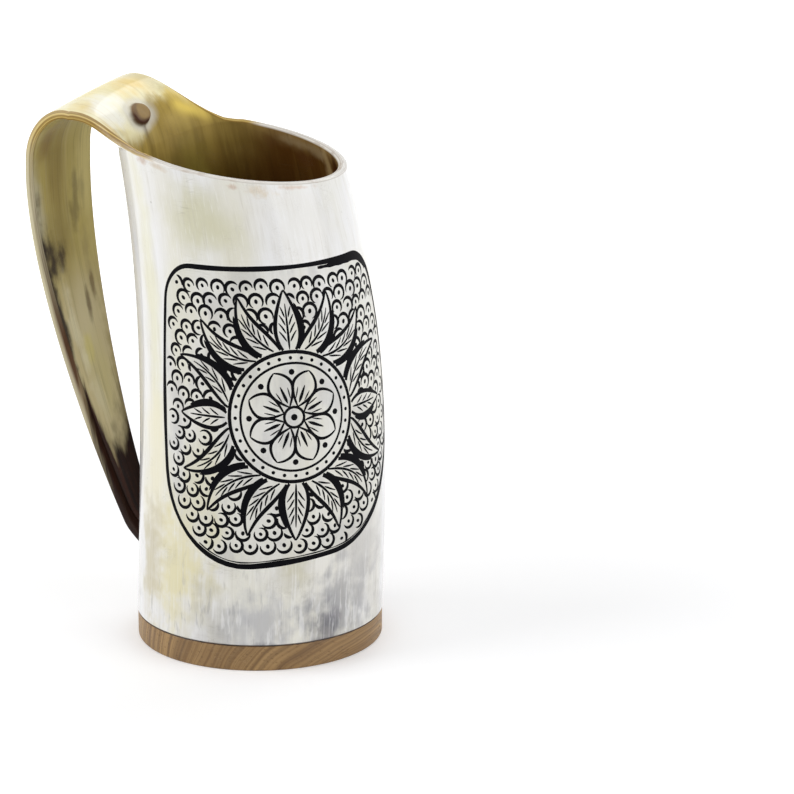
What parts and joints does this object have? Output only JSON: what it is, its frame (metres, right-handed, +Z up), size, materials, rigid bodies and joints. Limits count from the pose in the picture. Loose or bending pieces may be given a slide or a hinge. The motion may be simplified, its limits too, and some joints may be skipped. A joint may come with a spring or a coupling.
{
  "type": "horn drinking cup",
  "caption": "Tall drinking cup of polished horn with the tip bent over into a strap handle, an engraved panel on the front and a stepped wooden base",
  "frame": {"origin": "centre of the flat underside of the wooden base, where the cup stands", "axes": "+Z up along the cup, -X toward the strap handle, +X away from the handle, Y across the cup"},
  "size_m": [0.1168, 0.0805, 0.1766],
  "materials": {
    "horn": "polished horn, cream white with grey and olive streaks",
    "wood": "oiled brown hardwood, satin",
    "bond": "dark resin bond line",
    "seal": "clear food-safe coat over wood",
    "ink": "black pigment rubbed into cut lines"
  },
  "bodies": {
    "root": {"horn_body": "horn", "wood_base": "wood", "base_bond": "bond", "inner_seal": "seal", "handle_bond": "bond", "panel_ink": "ink"}
  },
  "joints": []
}
